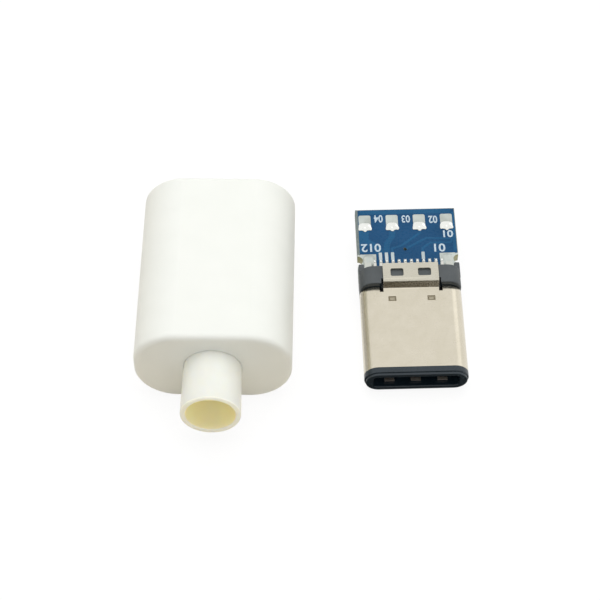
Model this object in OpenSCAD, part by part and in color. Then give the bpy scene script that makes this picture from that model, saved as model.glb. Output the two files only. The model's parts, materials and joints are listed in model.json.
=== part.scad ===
// Reversible 24-contact plug on its wiring board, lying beside the moulded housing that
// slides over it. Lengths are in millimetres and angles in degrees.
// The housing lies along Y with its cable sleeve towards -Y. The plug lies to its right with
// its nose towards -Y, resting on the nose and on the lower tab.

/* [Metal shell] */
// Width of the shell across its round sides
shell_w = 8.25; // [7.9:0.05:8.8]
// Height of the shell
shell_h = 2.4; // [2.3:0.05:2.8]
// Length of the shell behind the nose
shell_len = 7.57; // [6.9:0.01:9]
// Sheet thickness of the shell and its tabs
sheet_t = 0.22; // [0.16:0.01:0.25]
// Width of a stamped dimple
dimple_w = 0.62; // [0.4:0.01:0.9]
// Length of a dimple along the plug
dimple_len = 0.43; // [0.3:0.01:0.7]
// Depth of a dimple
dimple_depth = 0.09; // [0.04:0.01:0.12]
// Distance from the middle of the plug to a dimple's centre
dimple_x = 1.57; // [1:0.01:1.9]
// Distance from the shell's rear edge to a dimple
dimple_inset = 0.93; // [0.6:0.01:1.4]

/* [Rear tabs] */
// Width of the tab that lies on the rear block
tab_w = 4.5; // [3.8:0.05:5]
// Length of the tab past the rear face of the block
tab_over = 0.07; // [0.05:0.01:0.3]
// Length of the sloped riser between the shell and its tab
riser_run = 0.39; // [0.25:0.01:0.5]
// Distance from the shell's rear edge back to the foot of the riser
riser_inset = 0.12; // [0.05:0.01:0.2]
// Width of the relief on each side of a tab
relief_w = 0.27; // [0.15:0.01:0.4]
// Depth of the relief notch into the shell's rear edge
notch_depth = 0.46; // [0.4:0.01:0.6]
// Width of a window in the tab
window_w = 1.03; // [0.6:0.01:1.3]
// Length of a window along the plug
window_len = 0.72; // [0.4:0.01:0.9]
// Corner radius of a window
window_r = 0.15; // [0.05:0.01:0.19]
// Distance from the middle of the plug to a window's centre
window_x = 1.11; // [0.8:0.01:1.2]
// Distance from the tab's rear edge to a window
window_inset = 0.53; // [0.3:0.01:0.7]

/* [Nose and mouth] */
// Length of the plastic nose in front of the shell
nose_len = 0.7; // [0.6:0.05:0.9]
// Rounding of the nose's front edge
nose_r = 0.24; // [0.15:0.01:0.3]
// Thickness of the nose on each side of the mouth
mouth_side = 0.8; // [0.75:0.01:0.9]
// Thickness of the nose above the mouth, and below it
mouth_wall = 0.54; // [0.52:0.01:0.62]
// Corner radius of the mouth
mouth_r = 0.3; // [0.1:0.05:0.4]
// Width of the bevel round the mouth's edge
mouth_bevel = 0.1; // [0.05:0.01:0.15]
// Depth of the mouth
mouth_depth = 6.4; // [5.6:0.1:7]
// Clearance between pieces that fit into one another
fit_gap = 0.03; // [0.01:0.01:0.05]

/* [Rear block] */
// Step from the side of the shell in to the side of the block
block_inset = 0.025; // [0:0.005:0.1]
// Height of the block above the shell, and below it
block_rise = 0.48; // [0.3:0.01:0.7]
// Length of the block
block_len = 1.71; // [1.6:0.01:2.4]
// Corner radius of the block
block_r = 1.1; // [0.4:0.05:1.3]
// Gap between the shell's rear edge and the block
block_gap = 0.05; // [0.02:0.01:0.1]

// Length of the ears that run back along the board's edges
ear_len = 0.68; // [0.4:0.02:0.8]
// Width of an ear
ear_w = 0.44; // [0.3:0.01:0.44]
// Height of the ears above the middle of the plug
ear_h = 0.95; // [0.7:0.05:1.2]

/* [Contacts] */
// Number of contacts in a row
contact_count = 12; // [6:2:12]
// Spacing of the contacts
contact_pitch = 0.5; // [0.46:0.01:0.52]
// Width of a contact
contact_w = 0.22; // [0.16:0.01:0.25]
// Sheet thickness of a contact
contact_t = 0.12; // [0.08:0.01:0.14]
// Clearance of a contact in its channel
contact_gap = 0.04; // [0.02:0.01:0.06]
// Distance from the nose to the tips of the contacts
contact_tip = 2.2; // [2.15:0.05:2.8]
// Gap between facing contacts where they grip
grip_gap = 0.72; // [0.6:0.02:0.9]
// Length of a contact's soldered tail behind the block
tail_len = 1.05; // [1:0.05:1.6]

/* [Latch plate] */
// Sheet thickness of the latch plate
latch_t = 0.15; // [0.1:0.01:0.2]
// Width of a latch arm
latch_arm_w = 0.26; // [0.16:0.01:0.3]
// Reach of a latch hook into the mouth
latch_hook = 0.22; // [0.1:0.01:0.3]
// Distance from the nose to the front of the latch arms
latch_tip = 2.2; // [1.8:0.1:3]
// Width of a soldered latch tail
latch_tail_w = 0.56; // [0.4:0.02:0.6]
// Gap between a latch tail and the outermost contact
latch_tail_gap = 0.18; // [0.14:0.01:0.2]
// Length of a latch tail behind the block
latch_tail_len = 1.6; // [1.2:0.05:2]

/* [Grounding springs] */
// Number of tongues on a spring
tongue_count = 3; // [1:1:3]
// Width of a tongue
tongue_w = 0.8; // [0.4:0.05:1]
// Spacing of the tongues
tongue_pitch = 2.1; // [1.4:0.05:2.2]
// Sheet thickness of a spring
spring_t = 0.1; // [0.06:0.01:0.1]
// Distance from the nose to the tips of the tongues
tongue_tip = 0.46; // [0.36:0.02:0.7]
// Height of a tongue's tip off the mouth's wall
tongue_lift = 0.04; // [0.02:0.01:0.1]

/* [Circuit board] */
// Width of the board
board_w = 8.25; // [8.2:0.05:8.6]
// Thickness of the board
board_t = 0.8; // [0.6:0.05:1]
// Length of the board
board_len = 7.1; // [6.6:0.1:10]
// Length of the board inside the rear block
board_seat = 0.6; // [0.3:0.05:0.7]
// Thickness of the copper pads
pad_t = 0.04; // [0.02:0.01:0.06]
// Width of a contact pad
contact_pad_w = 0.3; // [0.28:0.01:0.34]
// Length of a long contact pad past the end of the contact's tail
long_pad_len = 0.7; // [0.3:0.05:1]
// Length of a corner pad
corner_pad_len = 1.85; // [1.8:0.05:2.2]
// Radius of the plated notch in the board's side
edge_notch_r = 0.26; // [0.15:0.01:0.3]
// Diameter of the plated hole in the board
via_d = 0.3; // [0.2:0.02:0.5]
// Number of wire pads
wire_pad_count = 4; // [2:1:4]
// Spacing of the wire pads
wire_pad_pitch = 2.25; // [1.6:0.05:2.3]
// Width of a wire pad
wire_pad_w = 1; // [0.8:0.05:1.2]
// Length of a wire pad
wire_pad_len = 1.55; // [1:0.05:2]
// Distance from the board's rear edge to the wire pads
wire_pad_inset = 0.6; // [0.2:0.05:0.8]

/* [Solder] */
// Height of the solder at the end of a contact's tail
contact_solder_h = 0.16; // [0.12:0.01:0.16]
// Length of the solder at the end of a contact's tail
contact_solder_len = 0.34; // [0.28:0.01:0.5]
// Height of the solder on a wire pad
wire_solder_h = 0.26; // [0.15:0.01:0.4]
// Length of the solder on a wire pad
wire_solder_len = 0.78; // [0.5:0.02:0.95]
// Height of the solder on a latch tail
latch_solder_h = 0.24; // [0.22:0.01:0.32]

/* [Housing] */
// Width of the housing
housing_w = 12.3; // [11.8:0.1:15]
// Height of the housing
housing_h = 7.65; // [7.2:0.05:9]
// Length of the housing
housing_len = 16.4; // [14:0.1:24]
// Corner radius of the housing's section
housing_r = 3.4; // [2.4:0.1:3.5]
// Rounding of the housing's end edges
housing_edge = 0.5; // [0.2:0.05:0.8]
// Thickness of the housing's end wall
end_wall = 1.6; // [1:0.1:2.4]
// Clearance of the plug inside the housing
cavity_gap = 0.3; // [0.1:0.05:0.4]
// Corner radius of the cavity
cavity_r = 0.9; // [0.4:0.1:1.4]

/* [Cable sleeve] */
// Bore of the sleeve
sleeve_bore_d = 3.86; // [3:0.02:4.4]
// Wall of the sleeve where it passes through the housing
sleeve_wall = 0.32; // [0.24:0.01:0.5]
// Gain in the wall towards the sleeve's free end
sleeve_flare = 0.09; // [0:0.01:0.2]
// Length of the sleeve outside the housing
sleeve_len = 4.45; // [2:0.05:8]
// Clearance of the sleeve in the end wall
sleeve_gap = 0.05; // [0.03:0.01:0.1]
// Reach of the flange beyond the sleeve, inside the housing
flange_lip = 1.05; // [0.5:0.05:1.6]
// Thickness of the flange
flange_t = 0.9; // [0.5:0.1:1.6]

/* [Layout] */
// Distance from the housing's axis to the plug's nose
plug_x = 15.94; // [12:0.02:24]
// Distance from the housing's end wall to the plug's nose, along the housing
plug_y = 0.84; // [-4:0.01:6]
// Turn of the plug against the housing
plug_yaw = 2.5; // [0:0.1:6]

/* [Hidden] */
$fn = 96;
over = 1; // how far a cutter runs past the solid that it cuts
bend_steps = 4;
bend_ratio = 0.65; // length of a bend on each side of its corner, in thicknesses

// Stations along the plug, measured from the front of the nose
shell_end = nose_len + shell_len;
block_start = shell_end + block_gap;
block_end = block_start + block_len;
tab_end = block_end + tab_over;
notch_start = shell_end - notch_depth;
riser_start = shell_end - riser_inset;
riser_end = riser_start + riser_run;
ear_end = block_end + ear_len;
board_start = block_end - board_seat;
board_end = board_start + board_len;

// Widths of the mouth and the block, and heights above the middle of the plug
mouth_w = shell_w - 2 * mouth_side;
mouth_h = shell_h - 2 * mouth_wall;
block_w = shell_w - 2 * block_inset;
block_h = shell_h + 2 * block_rise;
plug_h = block_h + 2 * sheet_t;
roof_z = (shell_h - sheet_t) / 2;
tab_z = (block_h + sheet_t) / 2;

// The plastic that lines the shell
liner_w = shell_w - 2 * (sheet_t + fit_gap);
liner_h = shell_h - 2 * (sheet_t + fit_gap);

// The contacts
contact_cover = 0.05; // plastic between the mouth and a contact
tip_run = 0.5; // from a contact's tip to its grip
grip_len = 0.4;
root_inset = 0.6; // from the mouth's end to the root of a contact's beam
tail_start = 0.15; // from the block to the first bend of a tail
tail_drop = 0.3; // length of a tail's slope down to the board
contact_z = mouth_h / 2 + contact_cover + contact_t / 2;
grip_z = (grip_gap + contact_t) / 2;
pad_z = board_t / 2 + pad_t;
tail_z = pad_z + contact_t / 2;
tail_end = block_end + tail_len;
channel_w = contact_w + 2 * contact_gap;
channel_h = contact_t + 2 * contact_gap;
groove_start = contact_tip - 2 * contact_gap;
outer_contact_x = (contact_count - 1) / 2 * contact_pitch;

// The latch plate
latch_inset = 0.55; // from the board's front edge to the plate's rear bends
latch_rise = 0.3; // length of a tail's slope up to the board
latch_half = mouth_w / 2 + latch_arm_w;
latch_tail_x = outer_contact_x + contact_w / 2 + latch_tail_gap + latch_tail_w / 2;
latch_tail_half = latch_tail_x + latch_tail_w / 2;
latch_slot_half = max(latch_half, latch_tail_half) + fit_gap;
latch_end = board_start - latch_inset;
latch_tail_z = pad_z + latch_t / 2;
latch_tail_end = block_end + latch_tail_len;
latch_slot_end = latch_end + latch_rise;

// The grounding springs
spring_y = 1.35; // from the nose to a spring's crossbar
spring_len = 0.4; // of the crossbar along the plug
spring_margin = 0.2; // of the crossbar beyond the outer tongues
tongue_run = 0.35; // length of a tongue's slope into the mouth
spring_w = (tongue_count - 1) * tongue_pitch + tongue_w + 2 * spring_margin;
spring_recess = spring_t + fit_gap;
spring_z = liner_h / 2 - spring_recess + spring_t / 2;
tongue_z = mouth_h / 2 - tongue_lift - spring_t / 2;

// The pads and the solder
pad_inset = 0.12; // from the block to the pads
pad_margin = 0.04; // bare pad past the solder
corner_pad_side = 0.24; // bare pad outside a latch tail's solder
edge_notch_inset = 0.3; // from a notch to the end of its corner pad
edge_ring = 0.2; // width of the pad round a notch
plating_t = pad_t;
via_x = -0.18;
via_inset = 1.02; // from the contact pads to the plated hole
pad_pattern = "SSSLSSSSLLLS"; // short and long pads, from the first contact to the last
latch_solder_len = 0.8;
solder_rim = 0.06; // thickness of the solder at its edge
pad_start = block_end + pad_inset;
contact_pad_end = tail_end + contact_solder_len + pad_margin;
corner_pad_x = outer_contact_x - contact_pad_w / 2;
corner_pad_w = latch_tail_half + solder_rim + corner_pad_side - corner_pad_x;
corner_pad_end = pad_start + corner_pad_len;
edge_notch_y = corner_pad_end - edge_notch_r - edge_notch_inset;
via_y = contact_pad_end + via_inset;
wire_pad_end = board_end - wire_pad_inset;
wire_pad_start = wire_pad_end - wire_pad_len;

// The housing and the sleeve
sleeve_rim = 0.12; // bevel at the sleeve's free end
flange_gap = 0.1; // between the flange and the cavity
sleeve_d = sleeve_bore_d + 2 * sleeve_wall;
sleeve_tip_d = sleeve_d + 2 * sleeve_flare;
flange_w = sleeve_d + 2 * flange_lip;
cavity_w = max(shell_w, block_w, board_w) + 2 * cavity_gap;
cavity_h = plug_h + 2 * cavity_gap;

// The plug rests on the round of its nose and on the front bend of its lower tab
nose_rest = [nose_r, nose_r - shell_h / 2];
tab_rest = [riser_end, -plug_h / 2];
rest_span = tab_rest - nose_rest;
plug_tilt = atan2(-rest_span[1], rest_span[0]) - asin(nose_r / norm(rest_span));
plug_lift = nose_r - nose_rest[0] * sin(plug_tilt) - nose_rest[1] * cos(plug_tilt);

// The frame's origin is under the middle of the two pieces as they lie
left_x = -housing_w / 2;
right_x = plug_x + shell_w / 2 * cos(plug_yaw) - nose_r * cos(plug_tilt) * sin(plug_yaw);
front_y = -sleeve_len;
plug_reach = board_end * cos(plug_tilt) + board_t / 2 * sin(plug_tilt);
back_y = max(housing_len, plug_y + board_w / 2 * sin(plug_yaw) + plug_reach * cos(plug_yaw));
centre_x = (left_x + right_x) / 2;
centre_y = (front_y + back_y) / 2;

metal = [0.84, 0.81, 0.73];
black = [0.16, 0.16, 0.17];
gold = [0.80, 0.68, 0.36];
blue = [0.10, 0.27, 0.52];
tin = [0.86, 0.84, 0.80];
white = [0.94, 0.94, 0.92];
cream = [0.92, 0.90, 0.84];

// Curves and outlines

function unit(v) = v / norm(v);
function toward(a, b, d) = a + unit(b - a) * d;
function curve(a, b, c, t) = (1 - t) * (1 - t) * a + 2 * t * (1 - t) * b + t * t * c;

// A path with each corner bent round over the distance d
function bent(p, d) = concat(
    [p[0]],
    [for (i = [1 : len(p) - 2], k = [0 : bend_steps])
        curve(toward(p[i], p[i - 1], d), p[i], toward(p[i], p[i + 1], d), k / bend_steps)],
    [p[len(p) - 1]]
);

function normal(a, b) = let (d = unit(b - a)) [-d[1], d[0]];
function mitre(p, i) =
    i == 0 ? normal(p[0], p[1]) :
    i == len(p) - 1 ? normal(p[i - 1], p[i]) :
    let (s = normal(p[i - 1], p[i]) + normal(p[i], p[i + 1])) s * 2 / (s * s);

// The outline of a sheet of thickness t whose middle follows the path
function sheet(p, t) = concat(
    [for (i = [0 : len(p) - 1]) p[i] + mitre(p, i) * t / 2],
    [for (i = [len(p) - 1 : -1 : 0]) p[i] - mitre(p, i) * t / 2]
);

function contact_x(i) = ((contact_count + 1) / 2 - i) * contact_pitch;

module stadium(w, h) {
    square([w - h, h], center = true);
    for (side = [-1, 1]) translate([side * (w - h) / 2, 0]) circle(d = h);
}

module rounded_rect(w, h, r) {
    square([w - 2 * r, h], center = true);
    square([w, h - 2 * r], center = true);
    for (x = [-1, 1], y = [-1, 1])
        translate([x * (w / 2 - r), y * (h / 2 - r)]) circle(r = r);
}

// Ways to place an outline

// Extrudes an X-Z outline along Y
module along(y0, y1) translate([0, y1, 0]) rotate([90, 0, 0]) linear_extrude(y1 - y0) children();

// Extrudes a Y-Z outline across X
module across(w) rotate([90, 0, 90]) linear_extrude(w, center = true) children();

// Extrudes an X-Y outline upwards
module upward(z0, z1) translate([0, 0, z0]) linear_extrude(z1 - z0) children();

// A bent sheet of thickness t and width w
module strip(path, t, w) across(w) polygon(sheet(bent(path, t * bend_ratio), t));

// A box given by its ranges
module box(x, y, z) translate([x[0], y[0], z[0]]) cube([x[1] - x[0], y[1] - y[0], z[1] - z[0]]);

module left_and_right(x) for (side = [-1, 1]) translate([side * x, 0, 0]) children();

module lower_side() rotate([0, 180, 0]) children();

module both_sides() {
    children();
    lower_side() children();
}

module each_contact() for (i = [1 : contact_count]) translate([contact_x(i), 0, 0]) children();

module each_tongue() for (i = [0 : tongue_count - 1])
    translate([(i - (tongue_count - 1) / 2) * tongue_pitch, 0, 0]) children();

module each_wire_pad() for (i = [0 : wire_pad_count - 1])
    translate([(i - (wire_pad_count - 1) / 2) * wire_pad_pitch, 0, 0]) children();

// A bar along Y with a rounded rectangular section. The child outlines the bar's edge:
// its x runs from a corner's centre outwards and its y along the bar.
module bar_with_edge(w, h, r, y0, y1) {
    cx = w / 2 - r;
    cz = h / 2 - r;
    for (corner = [[1, 1, -90], [1, -1, 0], [-1, -1, 90], [-1, 1, 180]])
        translate([corner[0] * cx, 0, corner[1] * cz])
            rotate([-90, 0, 0]) rotate([0, 0, corner[2]]) rotate_extrude(angle = 90) children();
    both_sides() translate([0, 0, cz]) across(2 * cx) mirror([1, -1]) children();
    if (cz > 0) {
        both_sides() translate([cx, 0, 0]) linear_extrude(2 * cz, center = true) children();
        box([-cx, cx], [y0, y1], [-cz, cz]);
    }
}

// The edge outline of such a bar, rounded by r0 at y0 and by r1 at y1
module soft_edge(r, y0, y1, r0, r1) {
    translate([0, y0 + r0]) square([r, y1 - y0 - r0 - r1]);
    if (r0 > 0) {
        translate([0, y0]) square([r - r0, 2 * r0]);
        translate([r - r0, y0 + r0]) circle(r = r0);
    }
    if (r1 > 0) {
        translate([0, y1 - 2 * r1]) square([r - r1, 2 * r1]);
        translate([r - r1, y1 - r1]) circle(r = r1);
    }
}

// A crowned pillow of solder that stands on z = 0
module pillow(w, l, h) intersection() {
    box([-w / 2, w / 2], [-l / 2, l / 2], [0, h]);
    crown(w, h) rotate([90, 0, 0]) cylinder(r = crown_r(w, h), h = l + over, center = true);
    crown(l, h) rotate([0, 90, 0]) cylinder(r = crown_r(l, h), h = w + over, center = true);
}

// The arc that rises from the rim's height to h over the width w
function crown_r(w, h) = let (s = h - solder_rim) (w * w / 4 + s * s) / (2 * s);
module crown(w, h) translate([0, 0, h - crown_r(w, h)]) children();

// Where the two pieces lie

module housing_place() translate([-centre_x, -centre_y, 0]) children();

module plug_place()
    translate([plug_x - centre_x, plug_y - centre_y, plug_lift])
        rotate([0, 0, plug_yaw]) rotate([plug_tilt, 0, 0]) children();

// The plug's pieces

module metal_shell() color(metal) difference() {
    union() {
        difference() {
            along(nose_len, shell_end) stadium(shell_w, shell_h);
            along(nose_len - over, shell_end + over)
                stadium(shell_w - 2 * sheet_t, shell_h - 2 * sheet_t);
            both_sides() box([-tab_w / 2 - relief_w, tab_w / 2 + relief_w],
                [notch_start, shell_end + over], [liner_h / 2, shell_h / 2 + over]);
        }
        both_sides() strip(
            [[notch_start - notch_depth, roof_z], [riser_start, roof_z],
             [riser_end, tab_z], [tab_end, tab_z]],
            sheet_t, tab_w);
    }
    both_sides() {
        left_and_right(dimple_x)
            box([-dimple_w / 2, dimple_w / 2],
                [shell_end - dimple_inset - dimple_len, shell_end - dimple_inset],
                [shell_h / 2 - dimple_depth, shell_h / 2 + over]);
        left_and_right(window_x) translate([0, tab_end - window_inset - window_len / 2, 0])
            upward(shell_h / 2, plug_h / 2 + over)
                rounded_rect(window_w, window_len, window_r);
    }
}

module mouth_cutter() bar_with_edge(mouth_w, mouth_h, mouth_r, -over, mouth_depth + over)
    polygon([[0, -over], [mouth_r + mouth_bevel, -over], [mouth_r + mouth_bevel, 0],
             [mouth_r, mouth_bevel], [mouth_r, mouth_depth + over], [0, mouth_depth + over]]);

module front_insulator() color(black) difference() {
    union() {
        bar_with_edge(shell_w, shell_h, shell_h / 2, 0, nose_len)
            soft_edge(shell_h / 2, 0, nose_len, nose_r, 0);
        along(nose_len / 2, mouth_depth) stadium(liner_w, liner_h);
    }
    mouth_cutter();
    both_sides() {
        each_contact()
            box([-channel_w / 2, channel_w / 2], [groove_start, mouth_depth + over],
                [0, contact_z + channel_h / 2]);
        box([-spring_w / 2 - fit_gap, spring_w / 2 + fit_gap],
            [spring_y - fit_gap, spring_y + spring_len + fit_gap],
            [liner_h / 2 - spring_recess, liner_h / 2 + over]);
        each_tongue()
            box([-tongue_w / 2 - fit_gap, tongue_w / 2 + fit_gap],
                [spring_y - tongue_run - spring_t, spring_y + spring_t],
                [0, liner_h / 2 + over]);
    }
    box([-latch_half - fit_gap, latch_half + fit_gap],
        [latch_tip - fit_gap, mouth_depth + over],
        [-latch_t / 2 - fit_gap, latch_t / 2 + fit_gap]);
}

module contact_module() difference() {
    intersection() {
        union() {
            along(mouth_depth, board_start) stadium(liner_w, liner_h);
            along(block_start, block_end) rounded_rect(block_w, block_h, block_r);
            intersection() {
                along(block_start, ear_end) rounded_rect(block_w, block_h, block_r);
                left_and_right((block_w - ear_w) / 2)
                    box([-ear_w / 2, ear_w / 2], [block_start, ear_end], [pad_z + fit_gap, ear_h]);
            }
        }
        box([-block_w, block_w], [0, board_end], [0, block_h]);
    }
    each_contact()
        box([-channel_w / 2, channel_w / 2], [mouth_depth - over, block_end + over],
            [contact_z - channel_h / 2, contact_z + channel_h / 2]);
    box([-latch_slot_half, latch_slot_half], [mouth_depth - over, latch_slot_end],
        [-over, latch_t / 2 + fit_gap]);
    box([-block_w, block_w], [board_start - fit_gap, block_end + over],
        [-over, board_t / 2 + fit_gap]);
    box([-tab_w / 2 - relief_w, tab_w / 2 + relief_w], [block_start - over, riser_end + sheet_t],
        [liner_h / 2, block_h]);
}

module upper_contact_module() color(black) difference() {
    contact_module();
    left_and_right(latch_tail_x)
        box([-latch_tail_w / 2 - fit_gap, latch_tail_w / 2 + fit_gap],
            [latch_end - latch_t - fit_gap, block_end + over],
            [-over, latch_tail_z + latch_t / 2 + fit_gap]);
}

module lower_contact_module() color(black) lower_side() contact_module();

module latch_arm(side) {
    inner = side * mouth_w / 2;
    outer = side * latch_half;
    hook = side * (mouth_w / 2 - latch_hook);
    polygon([[outer, latch_tip], [inner, latch_tip], [hook, latch_tip + latch_hook],
             [hook, latch_tip + 2 * latch_hook], [inner, latch_tip + 3 * latch_hook],
             [inner, mouth_depth], [outer, mouth_depth]]);
}

module latch_plate() color(metal) {
    upward(-latch_t / 2, latch_t / 2) {
        translate([-latch_half, mouth_depth]) square([2 * latch_half, latch_end - mouth_depth]);
        for (side = [-1, 1]) latch_arm(side);
    }
    left_and_right(latch_tail_x) strip(
        [[latch_end - latch_rise, 0], [latch_end, 0], [latch_end + latch_rise, latch_tail_z],
         [latch_tail_end, latch_tail_z]],
        latch_t, latch_tail_w);
}

module grounding_spring() {
    box([-spring_w / 2, spring_w / 2], [spring_y, spring_y + spring_len],
        [spring_z - spring_t / 2, spring_z + spring_t / 2]);
    each_tongue() strip(
        [[spring_y + spring_len, spring_z], [spring_y, spring_z],
         [spring_y - tongue_run, tongue_z], [tongue_tip, tongue_z]],
        spring_t, tongue_w);
}

module upper_grounding_spring() color(metal) grounding_spring();

module lower_grounding_spring() color(metal) lower_side() grounding_spring();

module contact(i) translate([contact_x(i), 0, 0]) strip(
    [[contact_tip, contact_z], [contact_tip + tip_run, grip_z],
     [contact_tip + tip_run + grip_len, grip_z], [mouth_depth - root_inset, contact_z],
     [block_end + tail_start, contact_z], [block_end + tail_start + tail_drop, tail_z],
     [tail_end, tail_z]],
    contact_t, contact_w);

module upper_contact(i) color(gold) contact(i);

module lower_contact(i) color(gold) lower_side() contact(i);

// The board and what is soldered to it

module circuit_board() color(blue) difference() {
    box([-board_w / 2, board_w / 2], [board_start, board_end], [-board_t / 2, board_t / 2]);
    left_and_right(board_w / 2) translate([0, edge_notch_y, 0])
        cylinder(r = edge_notch_r + plating_t, h = board_t + over, center = true);
    translate([via_x, via_y, 0]) cylinder(d = via_d, h = board_t + over, center = true);
}

module wire_pads() color(tin) each_wire_pad()
    box([-wire_pad_w / 2, wire_pad_w / 2], [wire_pad_start, wire_pad_end], [board_t / 2, pad_z]);

module corner_pad_outline() {
    translate([corner_pad_x, pad_start]) square([corner_pad_w, corner_pad_len]);
    intersection() {
        translate([board_w / 2, edge_notch_y]) circle(r = edge_notch_r + plating_t + edge_ring);
        translate([0, board_start]) square([board_w / 2, board_len]);
    }
}

module corner_pads() color(tin) for (side = [0, 180]) rotate([0, side, 0]) difference() {
    union() {
        both_faces() upward(board_t / 2, pad_z) corner_pad_outline();
        intersection() {
            translate([board_w / 2, edge_notch_y, 0])
                cylinder(r = edge_notch_r + plating_t, h = 2 * pad_z, center = true);
            box([0, board_w / 2], [board_start, board_end], [-pad_z, pad_z]);
        }
    }
    translate([board_w / 2, edge_notch_y, 0])
        cylinder(r = edge_notch_r, h = board_t + over, center = true);
}

// A shape on the board's upper face, and the same under it
module both_faces() {
    children();
    mirror([0, 0, 1]) children();
}

module contact_pads() for (i = [2 : contact_count - 1])
    let (end = contact_pad_end + (pad_pattern[i - 1] == "L" ? long_pad_len : 0))
        translate([contact_x(i), 0, 0])
            box([-contact_pad_w / 2, contact_pad_w / 2], [pad_start, end], [board_t / 2, pad_z]);

module upper_contact_pads() color(tin) contact_pads();

module lower_contact_pads() color(tin) lower_side() contact_pads();

module wire_solder() color(tin) each_wire_pad()
    translate([0, wire_pad_start + wire_solder_len / 2 + solder_rim, pad_z])
        pillow(wire_pad_w - 2 * solder_rim, wire_solder_len, wire_solder_h);

module contact_solder() each_contact() translate([0, tail_end + contact_solder_len / 2, pad_z])
    pillow(contact_pad_w, contact_solder_len, contact_solder_h);

module upper_contact_solder() color(tin) contact_solder();

module lower_contact_solder() color(tin) lower_side() contact_solder();

module latch_solder() color(tin) left_and_right(latch_tail_x) difference() {
    translate([0, corner_pad_end - latch_solder_len / 2, pad_z])
        pillow(latch_tail_w + 2 * solder_rim, latch_solder_len, latch_solder_h);
    box([-latch_tail_w / 2, latch_tail_w / 2], [block_end, latch_tail_end],
        [0, latch_tail_z + latch_t / 2]);
}

// The housing's pieces

module housing_shell() color(white) translate([0, 0, housing_h / 2]) difference() {
    bar_with_edge(housing_w, housing_h, housing_r, 0, housing_len)
        soft_edge(housing_r, 0, housing_len, housing_edge, housing_edge / 2);
    along(end_wall, housing_len + over) rounded_rect(cavity_w, cavity_h, cavity_r);
    along(-over, end_wall + over) circle(d = sleeve_d + 2 * sleeve_gap);
}

module cable_sleeve() color(cream) translate([0, 0, housing_h / 2]) {
    rotate([-90, 0, 0]) rotate_extrude() polygon([
        [sleeve_bore_d / 2, -sleeve_len], [sleeve_tip_d / 2 - sleeve_rim, -sleeve_len],
        [sleeve_tip_d / 2, sleeve_rim - sleeve_len], [sleeve_d / 2, 0],
        [sleeve_d / 2, end_wall + flange_t], [sleeve_bore_d / 2, end_wall + flange_t]]);
    difference() {
        intersection() {
            along(end_wall, end_wall + flange_t) circle(d = flange_w);
            along(end_wall - over, end_wall + flange_t + over)
                square([flange_w, cavity_h - 2 * flange_gap], center = true);
        }
        along(end_wall - over, end_wall + flange_t + over) circle(d = sleeve_bore_d);
    }
}

plug_place() metal_shell();
plug_place() front_insulator();
plug_place() upper_contact_module();
plug_place() lower_contact_module();
plug_place() latch_plate();
plug_place() upper_grounding_spring();
plug_place() lower_grounding_spring();
for (i = [1 : contact_count]) {
    plug_place() upper_contact(i);
    plug_place() lower_contact(i);
}
plug_place() circuit_board();
plug_place() wire_pads();
plug_place() corner_pads();
plug_place() upper_contact_pads();
plug_place() lower_contact_pads();
plug_place() wire_solder();
plug_place() latch_solder();
plug_place() upper_contact_solder();
plug_place() lower_contact_solder();
housing_place() housing_shell();
housing_place() cable_sleeve();
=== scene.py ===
# Looks of a reversible plug on its wiring board, lying beside the moulded housing that slides over it.
# Shapes are worked in millimetres, the plug's from its nose and the housing's from its end wall.
import json
import math
import bmesh
import bpy
from mathutils import Euler, Matrix, Vector, noise


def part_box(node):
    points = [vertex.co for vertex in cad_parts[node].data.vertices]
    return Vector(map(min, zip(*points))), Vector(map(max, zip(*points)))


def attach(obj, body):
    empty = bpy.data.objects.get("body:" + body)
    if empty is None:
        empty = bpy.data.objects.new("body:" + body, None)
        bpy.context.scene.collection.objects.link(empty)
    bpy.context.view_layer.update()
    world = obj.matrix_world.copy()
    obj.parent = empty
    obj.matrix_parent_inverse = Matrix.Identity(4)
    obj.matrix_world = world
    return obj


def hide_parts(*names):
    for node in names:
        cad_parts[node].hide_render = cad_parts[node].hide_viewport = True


mm = 0.001
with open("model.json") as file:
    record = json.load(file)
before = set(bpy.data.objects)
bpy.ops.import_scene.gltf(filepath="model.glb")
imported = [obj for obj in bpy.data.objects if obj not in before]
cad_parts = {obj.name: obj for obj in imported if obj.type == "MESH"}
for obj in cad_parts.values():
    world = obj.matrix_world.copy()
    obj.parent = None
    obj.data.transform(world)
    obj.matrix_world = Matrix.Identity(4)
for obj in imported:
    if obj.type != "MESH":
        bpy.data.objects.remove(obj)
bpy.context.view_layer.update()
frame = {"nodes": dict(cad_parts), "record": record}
nodes = frame["nodes"]
mounts = {mount["name"]: mount for mount in frame["record"]["mounts"]}


def plugTurn():
    along = -Vector(mounts["plug_nose"]["axis"]).normalized()
    upward = Vector(mounts["wire_pads_face"]["axis"]).normalized()
    across = along.cross(upward).normalized()
    return Matrix((across, along, across.cross(along))).transposed().to_4x4()


housingLow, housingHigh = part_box("housing_shell")
housingFrame = Matrix.Translation(((housingLow.x + housingHigh.x) / 2, housingLow.y,
                                   (housingLow.z + housingHigh.z) / 2))
plugFrame = Matrix.Translation(mounts["plug_nose"]["pos_m"]) @ plugTurn()
toMetres = Matrix.Scale(mm, 4)
print("frame loaded:", len(nodes), "nodes")


# Mesh tools

seamGap = 1e-5  # points this close are one
smallest = 1e-4  # shorter edges are closed
near = 0.01  # slack when faces and points are picked by place
facing = 0.7  # least part of a direction along an axis that counts as facing it
past = 1.0  # how far a cut reaches beyond what it cuts


def addBox(bm, x, y, z):
    low, high = Vector((x[0], y[0], z[0])), Vector((x[1], y[1], z[1]))
    size = Matrix.Diagonal((*(high - low), 1))
    bmesh.ops.create_cube(bm, size=1, matrix=Matrix.Translation((low + high) / 2) @ size)


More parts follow.
